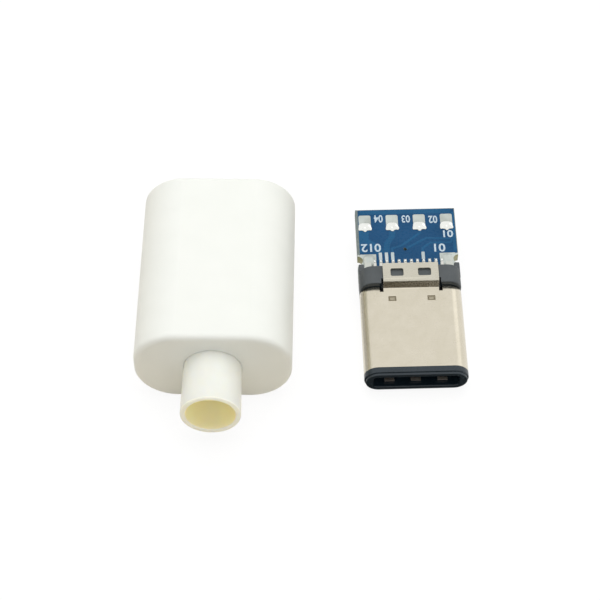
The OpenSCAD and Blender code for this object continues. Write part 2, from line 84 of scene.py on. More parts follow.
def boxes(*ranges):
    bm = bmesh.new()
    for x, y, z in ranges:
        addBox(bm, x, y, z)
    return bm


def addDisc(bm, radius, centre, z, segments=48):
    place = Matrix.Translation((*centre, (z[0] + z[1]) / 2))
    bmesh.ops.create_cone(bm, cap_ends=True, segments=segments, radius1=radius, radius2=radius,
                          depth=z[1] - z[0], matrix=place)


def disc(radius, centre, z):
    bm = bmesh.new()
    addDisc(bm, radius, centre, z)
    return bm


def only(kind, made):
    return [item for item in made if isinstance(item, kind)]


def closeSeams(bm):
    bmesh.ops.remove_doubles(bm, verts=bm.verts, dist=seamGap)
    bmesh.ops.recalc_face_normals(bm, faces=bm.faces)


def roundedLoop(bm, width, height, radius, count):
    # a circle whose quarters are moved apart; half a step of turn keeps its points off the axes
    half = math.pi / count
    made = bmesh.ops.create_circle(bm, segments=count, radius=radius / math.cos(half),
                                   matrix=Matrix.Rotation(half, 4, "Z"))["verts"]
    for vert in made:
        vert.co.x += math.copysign(width / 2 - radius, vert.co.x)
        vert.co.y += math.copysign(height / 2 - radius, vert.co.y)
    return made


def loopEdges(verts):
    chosen = set(verts)
    return list({edge for vert in verts for edge in vert.link_edges if edge.other_vert(vert) in chosen})


def ringAt(bm, width, height, radius, y, flat=None, count=96):
    # a rounded loop across the Y axis, cut level above and below where it has a flat
    made = roundedLoop(bm, width, height, radius, count)
    bmesh.ops.rotate(bm, verts=made, cent=(0, 0, 0), matrix=Matrix.Rotation(math.radians(90), 3, "X"))
    bmesh.ops.translate(bm, verts=made, vec=(0, y, 0))
    if flat:
        for vert in made:
            vert.co.z = max(-flat, min(flat, vert.co.z))
    return made


def loft(bm, profile, closed=False):
    # skins the rings of a profile point to point; a closed one ends on its first ring
    rings = [ringAt(bm, *ring) for ring in profile]
    places = [[vert.co.copy() for vert in ring] for ring in rings]
    bmesh.ops.delete(bm, geom=[vert for ring in rings[1:] for vert in ring], context="VERTS")
    current = rings[0]
    for targets in places[1:] + (places[:1] if closed else []):
        order = {vert: i for i, vert in enumerate(current)}
        made = bmesh.ops.extrude_edge_only(bm, edges=loopEdges(current))["geom"]
        fresh = [None] * len(current)
        for vert in only(bmesh.types.BMVert, made):
            beside = [edge.other_vert(vert) for edge in vert.link_edges]
            at = next(order[source] for source in beside if source in order)
            fresh[at] = vert
            vert.co = targets[at]
        current = fresh
    if not closed:
        for ring in (rings[0], current):
            bmesh.ops.edgeloop_fill(bm, edges=loopEdges(ring))
    closeSeams(bm)


def insetRing(section, inset, y):
    width, height, radius = section
    return (width - 2 * inset, height - 2 * inset, radius - inset, y)


def circleRing(diameter, y, flat=None):
    return (diameter, diameter, diameter / 2, y, flat)


def roundedEnd(section, y, radius, inward, steps=6, outward=1):
    # rings over a rounded edge, from the end face at y to the side; inward is the way into the solid
    # along Y, and outward is -1 for the edge of an opening
    rings = []
    for k in range(steps + 1):
        angle = math.pi / 2 * k / steps
        inset = outward * radius * (1 - math.sin(angle))
        rings.append(insetRing(section, inset, y + inward * radius * (1 - math.cos(angle))))
    return rings


def toMesh(name, bm):
    mesh = bpy.data.meshes.new(name)
    bm.to_mesh(mesh)
    bm.free()
    return mesh


def addObject(name, data):
    made = bpy.data.objects.new(name, data)
    bpy.context.scene.collection.objects.link(made)
    return made


def combine(bm, other, operation):
    # cuts one solid with another, or joins them, and hands back the result
    base, tool = (addObject("scratch", toMesh("scratch", part)) for part in (bm, other))
    change = base.modifiers.new("combine", "BOOLEAN")
    change.operation, change.solver, change.use_self, change.object = operation, "EXACT", True, tool
    evaluated = base.evaluated_get(bpy.context.evaluated_depsgraph_get())
    result = bmesh.new()
    result.from_mesh(evaluated.to_mesh())
    evaluated.to_mesh_clear()
    for old in (base, tool):
        mesh = old.data
        bpy.data.objects.remove(old)
        bpy.data.meshes.remove(mesh)
    return result


def addCurve(bm, line, place=Matrix()):
    # adds the surface of a curve or a text, which is then dropped
    scratch = bpy.data.objects.new("scratch", line)
    mesh = bpy.data.meshes.new_from_object(scratch)
    mesh.transform(place)
    bm.from_mesh(mesh)
    bpy.data.objects.remove(scratch)
    bpy.data.curves.remove(line)
    bpy.data.meshes.remove(mesh)


def bevelEdges(bm, edges, width, segments):
    bmesh.ops.bevel(bm, geom=edges, offset=width, offset_type="OFFSET", segments=segments, profile=0.5,
                    affect="EDGES", clamp_overlap=True, material=-1)


def softenEdges(bm, width, segments=2, sharpest=30):
    edges = [e for e in bm.edges if e.is_manifold and e.calc_face_angle() > math.radians(sharpest)]
    bevelEdges(bm, edges, width, segments)


def joinFlats(bm, degrees):
    bmesh.ops.dissolve_limit(bm, angle_limit=math.radians(degrees), verts=bm.verts, edges=bm.edges)


def lowerSide(bm):
    bmesh.ops.rotate(bm, verts=bm.verts, cent=(0, 0, 0), matrix=Matrix.Rotation(math.pi, 3, "Y"))


def cleanMesh(bm, least=smallest):
    bmesh.ops.remove_doubles(bm, verts=bm.verts, dist=least)
    bmesh.ops.dissolve_degenerate(bm, dist=least, edges=bm.edges)


def makePiece(name, bm, materials, replaced=(), smooth=40, place=plugFrame):
    cleanMesh(bm)
    bmesh.ops.transform(bm, matrix=place @ toMetres, verts=bm.verts)
    mesh = toMesh(name, bm)
    mesh.shade_smooth()
    mesh.set_sharp_from_angle(angle=math.radians(smooth))
    for material in materials:
        mesh.materials.append(finish[material])
    piece = addObject(name, mesh)
    even = piece.modifiers.new("evenNormals", "WEIGHTED_NORMAL")
    even.keep_sharp = True
    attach(piece, "root")
    if replaced:
        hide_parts(*replaced)


# Shader tools

noiseSpan = (0.3, 0.7)  # nearly all of a noise lies between these


def setInputs(tree, node, inputs):
    # joins each input to a socket, or sets it to a value
    for label, value in inputs.items():
        if isinstance(value, bpy.types.NodeSocket):
            tree.links.new(value, node.inputs[label])
        else:
            node.inputs[label].default_value = value


def addNode(tree, kind, inputs, **settings):
    node = tree.nodes.new("ShaderNode" + kind)
    for label, value in settings.items():
        setattr(node, label, value)
    setInputs(tree, node, inputs)
    return node


def addNoise(tree, vector, scale, detail, roughness=0.5):
    return addNode(tree, "TexNoise", {"Vector": vector, "Scale": scale, "Detail": detail,
                                      "Roughness": roughness}).outputs["Fac"]


def addMath(tree, operation, first, second):
    return addNode(tree, "Math", {0: first, 1: second}, operation=operation).outputs[0]


def addRange(tree, value, source, target):
    return addNode(tree, "MapRange", {"Value": value, "From Min": source[0], "From Max": source[1],
                                      "To Min": target[0], "To Max": target[1]}).outputs["Result"]


def addRamp(tree, value, colours):
    node = addNode(tree, "ValToRGB", {"Fac": value})
    for element, at, colour in zip(node.color_ramp.elements, noiseSpan, colours):
        element.position, element.color = at, (*colour, 1)
    return node.outputs["Color"]


def newGroup(name, outputs):
    # a node group that takes a place and a scale
    group = bpy.data.node_groups.new(name, "ShaderNodeTree")
    for label, kind in (("Vector", "Vector"), ("Scale", "Float")):
        group.interface.new_socket(label, in_out="INPUT", socket_type="NodeSocket" + kind)
    for label in outputs:
        group.interface.new_socket(label, in_out="OUTPUT", socket_type="NodeSocketFloat")
    source, sink = group.nodes.new("NodeGroupInput"), group.nodes.new("NodeGroupOutput")
    return group, source.outputs["Vector"], source.outputs["Scale"], sink


def mouldGrainGroup():
    # fine spark-eroded grain, and broad cloudy unevenness
    group, vector, scale, sink = newGroup("mouldGrain", ["Height", "Mottle"])
    height = addNoise(group, vector, scale, detail=3.0, roughness=0.6)
    setInputs(group, sink, {"Height": height, "Mottle": addNoise(group, vector, scale=0.45, detail=2.0)})
    return group


def drawnLinesGroup():
    # streaks that run along X, as rolling and plating leave them
    group, vector, scale, sink = newGroup("drawnLines", ["Height", "Mottle"])
    stretched = addNode(group, "Mapping", {"Vector": vector, "Scale": (0.05, 1, 1)}).outputs["Vector"]
    height = addNoise(group, stretched, scale, detail=4.0, roughness=0.65)
    mottle = addNoise(group, vector, scale=0.8, detail=3.0, roughness=0.55)
    setInputs(group, sink, {"Height": height, "Mottle": mottle})
    return group


def scuffsGroup():
    # thin broken scratches
    group, vector, scale, sink = newGroup("scuffs", ["Mask"])
    cells = addNode(group, "TexVoronoi", {"Vector": vector, "Scale": scale}, feature="DISTANCE_TO_EDGE")
    thin = addRange(group, cells.outputs["Distance"], source=(0.0, 0.02), target=(1.0, 0.0))
    patches = addNoise(group, vector, scale=1.3, detail=2.0)
    broken = addRange(group, patches, source=(0.55, 0.7), target=(0.0, 1.0))
    setInputs(group, sink, {"Mask": addMath(group, "MULTIPLY", thin, broken)})
    return group


mouldGrain, drawnLines, scuffs = mouldGrainGroup(), drawnLinesGroup(), scuffsGroup()


# Finishes: tones and roughness are the least and the most, grain is its scale and its depth, and scuffs
# are their scale and what they add to the roughness

def newFinish(name, place):
    # hands back the material, its tree, its shader and coordinates in millimetres on the piece
    material = bpy.data.materials.new(name)
    material.use_nodes = True
    tree = material.node_tree
    coordinates = addNode(tree, "TexCoord", {})
    local = addNode(tree, "Mapping", {
        "Vector": coordinates.outputs["Object"], "Location": place.to_translation(),
        "Rotation": place.to_euler(), "Scale": (mm, mm, mm)}, vector_type="TEXTURE")
    return material, tree, tree.nodes["Principled BSDF"], local.outputs["Vector"]


def addTin(tree, vector, tone, tinned):
    # the plating changes from the tone to tin between two places along the plug
    axes = addNode(tree, "SeparateXYZ", {"Vector": vector})
    share = addRange(tree, axes.outputs["Y"], tinned["run"], (0, 1))
    return addNode(tree, "Mix", {"Factor": share, "A": tone, "B": (*tinned["tone"], 1)},
                   data_type="RGBA").outputs["Result"]


def seepWithPaintedGlow(radius, scale, glow, strength):
    # subsurface scattering lets real light through a thin wall, and the emission adds a painted glow that
    # is the same under any light
    return {"Subsurface Weight": 1.0, "Subsurface Radius": radius, "Subsurface Scale": scale * mm,
            "Emission Color": (*glow, 1), "Emission Strength": strength}


def makeFinish(name, place, effect, look, shared):
    material, tree, shader, vector = newFinish(name, place)
    scale, depth = look["grain"]
    grain = addNode(tree, "Group", {"Vector": vector, "Scale": scale}, node_tree=effect).outputs
    tone = addRamp(tree, grain["Mottle"], look["tones"])
    if "tinned" in look:
        tone = addTin(tree, vector, tone, look["tinned"])
    rough = addRange(tree, grain["Height"], noiseSpan, look["roughness"])
    if "scuffs" in look:
        scale, change = look["scuffs"]
        marks = addNode(tree, "Group", {"Vector": vector, "Scale": scale}, node_tree=scuffs).outputs
        rough = addMath(tree, "ADD", rough, addMath(tree, "MULTIPLY", marks["Mask"], change))
    bump = addNode(tree, "Bump", {"Distance": depth * mm, "Height": grain["Height"]}).outputs["Normal"]
    setInputs(tree, shader, {"Base Color": tone, "Roughness": rough, "Normal": bump,
                             **shared, **look.get("shader", {})})
    return material


tube = {"grain": (7.0, 0.003), "scuffs": (0.7, -0.08)}
housingLooks = {
    "whitePlastic": {"tones": [(0.838, 0.856, 0.818), (0.854, 0.871, 0.834)], "roughness": (0.38, 0.5),
                     "grain": (9.0, 0.004), "scuffs": (0.6, -0.1), "shader": {"IOR": 1.46}},
    "sleevePlastic": {
        **tube, "tones": [(0.735, 0.752, 0.715), (0.76, 0.778, 0.745)], "roughness": (0.3, 0.42),
        "shader": {"IOR": 1.47, **seepWithPaintedGlow(radius=(1.0, 0.9, 0.7), scale=0.5, glow=(1.0, 1.0, 0.95),
                                       strength=0.07)}},
    # a lighter copy of the sleeve's plastic, painted light on the rounded tip
    "litTipPlastic": {
        **tube, "tones": [(0.87, 0.88, 0.79), (0.9, 0.91, 0.83)], "roughness": (0.4, 0.5),
        "shader": {"IOR": 1.45, **seepWithPaintedGlow(radius=(1.0, 0.9, 0.7), scale=0.5, glow=(1.0, 1.0, 0.85),
                                       strength=0.06)}},
    # a warm, bright copy of the sleeve's plastic, painted light in the bore for what comes through the
    # thin wall
    "paintedLightBorePlastic": {
        **tube, "tones": [(0.93, 0.85, 0.58), (0.95, 0.88, 0.64)], "roughness": (0.5, 0.6),
        "shader": {"IOR": 1.45, **seepWithPaintedGlow(radius=(1.0, 0.8, 0.45), scale=1.5, glow=(1.0, 0.9, 0.58),
                                       strength=0.08)}},
}
plugLooks = {
    # the block's plastic is painted lighter than its real black, a painted sheen for the light its top
    # reflects
    "paintedSheenBlackPlastic": {"tones": [(0.052, 0.061, 0.066), (0.07, 0.08, 0.086)], "roughness": (0.42, 0.58),
                     "grain": (16.0, 0.004), "scuffs": (1.2, -0.12), "shader": {"IOR": 1.5}},
    "nosePlastic": {"tones": [(0.006, 0.014, 0.021), (0.011, 0.021, 0.03)], "roughness": (0.24, 0.36),
                    "grain": (14.0, 0.002), "scuffs": (1.4, -0.1), "shader": {"IOR": 1.54}},
    # a darker, duller copy of the black plastic, painted shade on the block's faces inside the shell
    "shadedInnerPlastic": {"tones": [(0.004, 0.004, 0.004), (0.007, 0.007, 0.007)], "roughness": (0.7, 0.8),
                     "grain": (16.0, 0.004), "scuffs": (1.2, -0.1), "shader": {"IOR": 1.15}},
    "maskBlue": {"tones": [(0.006, 0.059, 0.152), (0.01, 0.075, 0.187)], "roughness": (0.22, 0.36),
                 "grain": (5.0, 0.004), "shader": {"IOR": 1.24}},
    "maskOverCopper": {"tones": [(0.009, 0.082, 0.19), (0.013, 0.1, 0.225)], "roughness": (0.22, 0.36),
                       "grain": (5.0, 0.004), "shader": {"IOR": 1.24}},
}
sheet = {"tones": [(0.662, 0.612, 0.495), (0.7, 0.65, 0.535)], "grain": (9.0, 0.0003),
         "scuffs": (0.9, 0.12)}
padPlating = {"roughness": (0.4, 0.6), "grain": (12.0, 0.003), "scuffs": (2.5, 0.15), "turn": math.pi / 2}
metalLooks = {
    "platedSteel": {**sheet, "roughness": (0.2, 0.28)},
    # a darker copy of the shell's plating, painted shade on the raised tab
    "shadedTabSteel": {**sheet, "tones": [(0.592, 0.5625, 0.467), (0.626, 0.597, 0.505)],
                 "roughness": (0.22, 0.3)},
    "latchSteel": {**sheet, "roughness": (0.25, 0.35),
                   "tinned": {"run": (9.3, 10.2), "tone": (0.61, 0.63, 0.58)}},
    # a darker, rougher copy of the plating, painted shade in the dimples
    "shadedDimpleSteel": {**sheet, "tones": [(0.41, 0.37, 0.28), (0.45, 0.405, 0.31)], "roughness": (0.4, 0.5)},
    "springSteel": {"tones": [(0.46, 0.41, 0.37), (0.58, 0.53, 0.48)], "roughness": (0.35, 0.5),
                    "grain": (14.0, 0.001), "scuffs": (2.0, 0.1)},
    "contactGold": {"tones": [(0.6, 0.45, 0.2), (0.75, 0.6, 0.3)], "roughness": (0.25, 0.4),
                    "grain": (16.0, 0.001), "scuffs": (2.0, 0.1),
                    "tinned": {"run": (8.6, 9.2), "tone": (0.72, 0.71, 0.66)}},
    "padTin": {"tones": [(0.5, 0.528, 0.49), (0.645, 0.69, 0.655)], **padPlating},
    "coolTin": {"tones": [(0.5, 0.57, 0.58), (0.62, 0.69, 0.7)], **padPlating},
    # a dark olive copy of the plating, painted shade in the half holes
    "shadedHoleGold": {"tones": [(0.26, 0.25, 0.14), (0.39, 0.375, 0.225)], "roughness": (0.35, 0.5),
                    "grain": (12.0, 0.002), "scuffs": (2.0, 0.1)},
    "brightSolder": {"tones": [(0.82, 0.835, 0.79), (0.9, 0.915, 0.875)], "roughness": (0.12, 0.26),
                     "grain": (5.0, 0.004), "scuffs": (2.0, 0.1)},
}
finish = {}
for looks, origin, effect, shared in (
        (housingLooks, housingFrame, mouldGrain, {}), (plugLooks, plugFrame, mouldGrain, {}),
        (metalLooks, plugFrame, drawnLines, {"Metallic": 1.0})):
    for name, look in looks.items():
        turned = origin @ Matrix.Rotation(look.get("turn", 0), 4, "Z")
        finish[name] = makeFinish(name, turned, effect, look, shared)


# Housing, a moulded case of rounded section that is open at one end

housing = {"radius": 3.4, "frontEdge": 0.5, "rearEdge": 0.25, "endWall": 1.6, "holeDiameter": 4.53,
           "holeEdge": 0.05, "cavity": (8.85, 4.4, 0.9), "cavityEdge": 0.15, "support": 0.06}


def makeHousing():
    size = (housingHigh - housingLow) / mm
    outer = (size.x, size.z, housing["radius"])
    hole, edge = housing["holeDiameter"], housing["holeEdge"]
    cavity, lip = housing["cavity"], housing["cavityEdge"]
    front, rear = housing["frontEdge"], housing["rearEdge"]
    length, wall, support = size.y, housing["endWall"], housing["support"]
    # out of the hole, along the outside and back into the cavity; support rings keep the flats even
    profile = [
        circleRing(hole, wall, cavity[1] / 2 - edge), circleRing(hole, edge),
        circleRing(hole + 2 * edge, 0), insetRing(outer, front + support, 0),
        *roundedEnd(outer, 0, front, 1),
        insetRing(outer, 0, front + support), insetRing(outer, 0, length - rear - support),
        *reversed(roundedEnd(outer, length, rear, -1)), insetRing(outer, rear + support, length),
        insetRing(cavity, -lip - support, length), insetRing(cavity, -lip, length),
        insetRing(cavity, 0, length - lip), insetRing(cavity, 0, length - lip - support),
        insetRing(cavity, 0, wall + support), insetRing(cavity, 0, wall)]
    bm = bmesh.new()
    loft(bm, profile, closed=True)
    makePiece("housing", bm, ["whitePlastic"], ["housing_shell"], smooth=30,
              place=housingFrame)


makeHousing()
print("housing made")


# Cable sleeve, a flared tube with a flange behind the end wall

sleeve = {"bore": 3.86, "diameter": 4.5, "tipDiameter": 4.68, "length": 4.45, "tipRound": 0.12,
          "roundSteps": 5, "flareRun": 0.9, "flareLoss": 0.02, "flange": 6.6, "flangeFlat": 2.1,
          "flangeEnd": 2.5, "neckFlat": 2.07}


def makeSleeve():
    tip, edge, steps = -sleeve["length"], sleeve["tipRound"], sleeve["roundSteps"]
    bore, outside = circleRing(sleeve["bore"], tip)[:3], circleRing(sleeve["tipDiameter"], tip)[:3]
    flat, end, wall = sleeve["flangeFlat"], sleeve["flangeEnd"], housing["endWall"]
    profile = [circleRing(sleeve["bore"], end),
               *reversed(roundedEnd(bore, tip, edge, 1, steps, outward=-1)),
               *roundedEnd(outside, tip, edge, 1, steps),
               circleRing(sleeve["tipDiameter"] - sleeve["flareLoss"], tip + sleeve["flareRun"]),
               circleRing(sleeve["diameter"], 0), circleRing(sleeve["diameter"], wall, sleeve["neckFlat"]),
               circleRing(sleeve["flange"], wall, flat), circleRing(sleeve["flange"], end, flat)]
    bm = bmesh.new()
    loft(bm, profile, closed=True)
    # the bore and the rounded tip get their painted-light copies of the sleeve's plastic
    for face in bm.faces:
        inside = max(math.hypot(v.co.x, v.co.z) for v in face.verts) < sleeve["bore"] / 2 + near
        atTip = max(v.co.y for v in face.verts) < tip + edge + near
        face.material_index = 1 if inside else 2 if atTip else 0
    makePiece("cableSleeve", bm, ["sleevePlastic", "paintedLightBorePlastic", "litTipPlastic"],
              ["cable_sleeve"], smooth=35, place=housingFrame)


makeSleeve()
print("cable sleeve made")


# Metal shell, a drawn sheet with a raised tab above and below

shell = {"section": (8.25, 2.4, 1.2), "sheet": 0.22, "front": 0.7, "rear": 8.27, "notch": 0.46,
         "relief": 0.27, "roofLow": 0.8, "tabWidth": 4.5, "tabEnd": 10.1, "riserInset": 0.12,
         "riserRun": 0.39, "riserRise": 0.7, "bendRun": 0.143, "bendSteps": 6, "bendClear": 0.1,
         "windowAt": 1.11, "window": (1.03, 0.72, 0.15), "windowInset": 0.53, "windowRim": 0.08,
         "windowPoints": 32, "dimpleAt": 1.57, "dimple": (0.62, 0.45), "dimpleInset": 0.92, "edge": 0.035,
         "dimpleSteps": [(0.02, -0.12), (0.065, 0.0), (0.02, 0.09)]}


def cutFaces(bm, faces, point, normal):
    geom = list({item for face in faces for item in (*face.verts, *face.edges, face)})
    bmesh.ops.bisect_plane(bm, geom=geom, plane_co=point, plane_no=normal)


def facesWithin(bm, x, y, side):
    # faces of the roof, or of the floor where side is -1, by their middles
    found = []
    for face in bm.faces:
        centre = face.calc_center_median()
        level = side * centre.z > shell["roofLow"]
        if level and x[0] < centre.x < x[1] and y[0] < centre.y < y[1]:
            found.append(face)
    return found


def pushEdges(bm, edges, way):
    made = bmesh.ops.extrude_edge_only(bm, edges=edges)["geom"]
    bmesh.ops.translate(bm, verts=only(bmesh.types.BMVert, made), vec=way)
    return only(bmesh.types.BMEdge, made)


def bendEdges(bm, edges, centre, turn, angle):
    made = bmesh.ops.spin(bm, geom=edges, cent=centre, axis=(turn, 0, 0), angle=angle,
                          steps=shell["bendSteps"])
    return only(bmesh.types.BMEdge, made["geom_last"])


def raiseTab(bm, side):
    # bends the rear edge of the roof up the riser and back along the block, and hands back where the
    # second bend ends
    half = shell["tabWidth"] / 2
    start = shell["rear"] - shell["riserInset"] - shell["bendRun"]
    rear = [v for v in bm.verts if abs(v.co.x) < half + near and v.co.y > start and side * v.co.z > 0]
    for vert in rear:
        vert.co.y = start
    angle = math.atan2(shell["riserRise"], shell["riserRun"])
    radius = shell["bendRun"] / math.tan(angle / 2)
    straight = math.hypot(shell["riserRun"], shell["riserRise"]) - 2 * shell["bendRun"]
    along = Vector((0, math.cos(angle), side * math.sin(angle)))
    outward = Vector((0, -math.sin(angle), side * math.cos(angle)))
    inner, outer = radius - shell["sheet"] / 2, radius + shell["sheet"] / 2
    edges = bendEdges(bm, loopEdges(rear), rear[0].co + Vector((0, 0, side * inner)), side, angle)
    edges = pushEdges(bm, edges, along * straight)
    edges = bendEdges(bm, edges, edges[0].verts[0].co - outward * outer, -side, angle)
    reached = edges[0].verts[0].co.y
    pushEdges(bm, edges, Vector((0, shell["tabEnd"] - reached, 0)))
    return reached


def openWindows(bm, side, bendEnd):
    # takes the flat of the tab out and fills it again round the two windows
    half = shell["tabWidth"] / 2
    flat = facesWithin(bm, (-half, half), (bendEnd + shell["bendClear"], shell["tabEnd"]), side)
    height = flat[0].verts[0].co.z
    around = {edge for face in flat for edge in face.edges}
    border = [edge for edge in around if sum(face in flat for face in edge.link_faces) == 1]
    bmesh.ops.delete(bm, geom=flat, context="FACES_ONLY")
    width, length, radius = shell["window"]
    middle = shell["tabEnd"] - shell["windowInset"] - length / 2
    for at in (-shell["windowAt"], shell["windowAt"]):
        loops = []
        for grow in (0, shell["windowRim"]):
            loops.append(roundedLoop(bm, width + 2 * grow, length + 2 * grow, radius + grow,
                                     shell["windowPoints"]))
            bmesh.ops.translate(bm, verts=loops[-1], vec=(at, middle, height))
        inner, outer = (loopEdges(verts) for verts in loops)
        bmesh.ops.bridge_loops(bm, edges=inner + outer)
        border += outer
    bmesh.ops.triangle_fill(bm, use_beauty=True, use_dissolve=False, edges=border, normal=(0, 0, side))


def pressDimples(bm, middle):
    # each dimple is a narrow moat round a face that stands a little low; all of it gets a darker, rougher
    # copy of the plating, painted shade in the recess
    width, length = shell["dimple"]
    outerZ = shell["section"][1] / 2
    faces = []
    for face in bm.faces:
        centre = face.calc_center_median()
        close = abs(abs(centre.x) - shell["dimpleAt"]) < width / 3 and abs(centre.y - middle) < length / 3
        if close and abs(abs(centre.z) - outerZ) < near:
            faces.append(face)
    for inset, depth in shell["dimpleSteps"]:
        ring = bmesh.ops.inset_individual(bm, faces=faces, thickness=inset, depth=depth,
                                          use_even_offset=True)
        for face in ring["faces"] + faces:
            face.material_index = 1


def makeShell():
    bm = bmesh.new()
    section = shell["section"]
    notchAt = shell["rear"] - shell["notch"]
    loft(bm, [insetRing(section, 0, y) for y in (shell["front"], notchAt, shell["rear"])])
    ends = [face for face in bm.faces if abs(face.normal.y) > facing]
    bmesh.ops.delete(bm, geom=ends, context="FACES_ONLY")
    half, outerHalf = shell["tabWidth"] / 2, shell["tabWidth"] / 2 + shell["relief"]
    for x in (-outerHalf, -half, half, outerHalf):
        cutFaces(bm, bm.faces[:], (x, 0, 0), (1, 0, 0))
    for side in (-1, 1):
        gone = [face for x in ((-outerHalf, -half), (half, outerHalf))
                for face in facesWithin(bm, x, (notchAt, shell["rear"]), side)]
        bmesh.ops.delete(bm, geom=gone, context="FACES")
        openWindows(bm, side, raiseTab(bm, side))
    width, length = shell["dimple"]
    rear = shell["rear"] - shell["dimpleInset"]
    roof = [(-half, half), (shell["front"], notchAt)]
    for side in (-1, 1):
        for x in (shell["dimpleAt"] - width / 2, shell["dimpleAt"] + width / 2):
            for way in (-1, 1):
                cutFaces(bm, facesWithin(bm, *roof, side), (way * x, 0, 0), (1, 0, 0))
        for y in (rear - length, rear):
            cutFaces(bm, facesWithin(bm, *roof, side), (0, y, 0), (0, 1, 0))
    closeSeams(bm)
    bmesh.ops.solidify(bm, geom=bm.faces[:], thickness=shell["sheet"])
    pressDimples(bm, rear - length / 2)
    softenEdges(bm, shell["edge"])
    # the raised tab's faces get the darker copy of the plating, painted shade
    tabLow = section[1] / 2 + shell["riserRise"] / 2
    for face in bm.faces:
        if abs(face.calc_center_median().z) > tabLow:
            face.material_index = 2
    makePiece("metalShell", bm, ["platedSteel", "shadedDimpleSteel", "shadedTabSteel"],
              ["metal_shell"])


makeShell()
print("metal shell made")


# Nose and the plastic that lines the shell, with grooves for the contacts, springs and latches

nose = {"section": (8.25, 2.4, 1.2), "length": 0.7, "round": 0.11, "liner": (7.75, 1.9, 0.95),
        "depth": 6.4, "ledge": 0.21, "ledgeInset": 0.115, "lipRound": 0.05, "lipSteps": 3,
        "mouth": (6.78, 1.4, 0.34), "mouthRound": 0.1}
contact = {"count": 12, "pitch": 0.5, "channel": 0.3, "grooveStart": 2.12, "channelLow": 0.67,
           "channelHigh": 0.87}
spring = {"half": 2.73, "run": (1.32, 1.78), "floor": 0.82, "pitch": 2.1, "tongueHalf": 0.43,
          "tongueRun": (0.9, 1.45)}
latch = {"half": 3.615, "start": 2.17, "halfHeight": 0.105}


def spread(count, pitch):
    return [(i - (count - 1) / 2) * pitch for i in range(count)]


contactPlaces = spread(contact["count"], -contact["pitch"])
channels = [(x - contact["channel"] / 2, x + contact["channel"] / 2) for x in contactPlaces]


def makeNose():
    outer, liner, mouth = nose["section"], nose["liner"], nose["mouth"]
    depth, step, ledge = nose["depth"], nose["length"], nose["ledge"]
    lip = insetRing(outer, nose["ledgeInset"], 0)[:3]
    # the rim's round ends on a narrow ledge, and the lip round the mouth stands in front of it
    profile = [insetRing(liner, 0, depth), insetRing(liner, 0, step), insetRing(outer, 0, step),
               *reversed(roundedEnd(outer, ledge, nose["round"], 1)), insetRing(lip, 0, ledge),
               *reversed(roundedEnd(lip, 0, nose["lipRound"], 1, nose["lipSteps"])),
               *roundedEnd(mouth, 0, nose["mouthRound"], 1, outward=-1), insetRing(mouth, 0, depth)]
    bm = bmesh.new()
    loft(bm, profile, closed=True)
    high, half, thin = contact["channelHigh"], latch["half"], latch["halfHeight"]
    grooves = [(x, (contact["grooveStart"], depth + past), (-high, high)) for x in channels]
    grooves.append(((-half, half), (latch["start"], depth + past), (-thin, thin)))
    reach, tongue = liner[1] / 2 + past, spring["tongueHalf"]
    for z in ((spring["floor"], reach), (-reach, -spring["floor"])):
        grooves.append(((-spring["half"], spring["half"]), spring["run"], z))
    for x in (-spring["pitch"], 0, spring["pitch"]):
        grooves.append(((x - tongue, x + tongue), spring["tongueRun"], (-reach, reach)))
    bm = combine(bm, boxes(*grooves), "DIFFERENCE")
    makePiece("frontInsulator", bm, ["nosePlastic"], ["front_insulator"], smooth=30)


makeNose()
print("nose made")


# Rear block, in an upper and a lower half that hold the contacts and grip the board

block = {"section": (8.2, 3.36, 1.1), "start": 8.32, "end": 10.03, "edge": 0.1, "edgeSteps": 4,
         "tabHalf": 2.41, "tabEnd": 8.76, "boardStart": 9.4, "boardTop": 0.43, "latchEnd": 9.18,
         "latchHalf": 3.63, "latchTop": 0.105, "tailAt": 3.32, "tailHalf": 0.31, "tailStart": 8.7,
         "tailTop": 0.62, "ear": ((3.66, 4.1), (9.2, 10.71), (0.47, 0.95)), "earEdge": 0.09, "earSteps": 3}


def blockEars():
    (inner, outer), along, up = block["ear"]
    bm = boxes(((inner, outer), along, up), ((-outer, -inner), along, up))
    softenEdges(bm, block["earEdge"], block["earSteps"])
    return bm


def makeBlock(name, node, upper):
    section, liner = block["section"], nose["liner"]
    edge, steps = block["edge"], block["edgeSteps"]
    front, start, end = nose["depth"], block["start"], block["end"]
    profile = [insetRing(liner, 0, front), insetRing(liner, 0, start),
               *roundedEnd(section, start, edge, 1, steps),
               *reversed(roundedEnd(section, end, edge, -1, steps))]
    bm = bmesh.new()
    loft(bm, profile)
    wide, high = section[0], section[1]
    through = (front - past, end + past)
    cuts = [((-wide, wide), through, (-high, 0)),
            ((-block["latchHalf"], block["latchHalf"]), (front - past, block["latchEnd"]),
             (-past, block["latchTop"])),
            ((-wide, wide), (block["boardStart"], end + past), (-past, block["boardTop"])),
            ((-block["tabHalf"], block["tabHalf"]), (start - past, block["tabEnd"]), (liner[1] / 2, high))]
    cuts += [(x, through, (contact["channelLow"], contact["channelHigh"])) for x in channels]
    if upper:
        for x in (-block["tailAt"], block["tailAt"]):
            cuts.append(((x - block["tailHalf"], x + block["tailHalf"]), (block["tailStart"], end + past),
                         (-past, block["tailTop"])))
    bm = combine(bm, boxes(*cuts), "DIFFERENCE")
    bm = combine(bm, blockEars(), "UNION")
    if not upper:
        lowerSide(bm)
    # faces inside the shell get the darker copy and the front step above the shell gets the nose's darker
    # plastic, both painted shade
    for face in bm.faces:
        shadedInShell = max(vert.co.y for vert in face.verts) < start + near
        step = face.normal.y < -facing
        face.material_index = 0 if not shadedInShell else 2 if step else 1
    makePiece(name, bm, ["paintedSheenBlackPlastic", "shadedInnerPlastic", "nosePlastic"], [node],
              smooth=30)


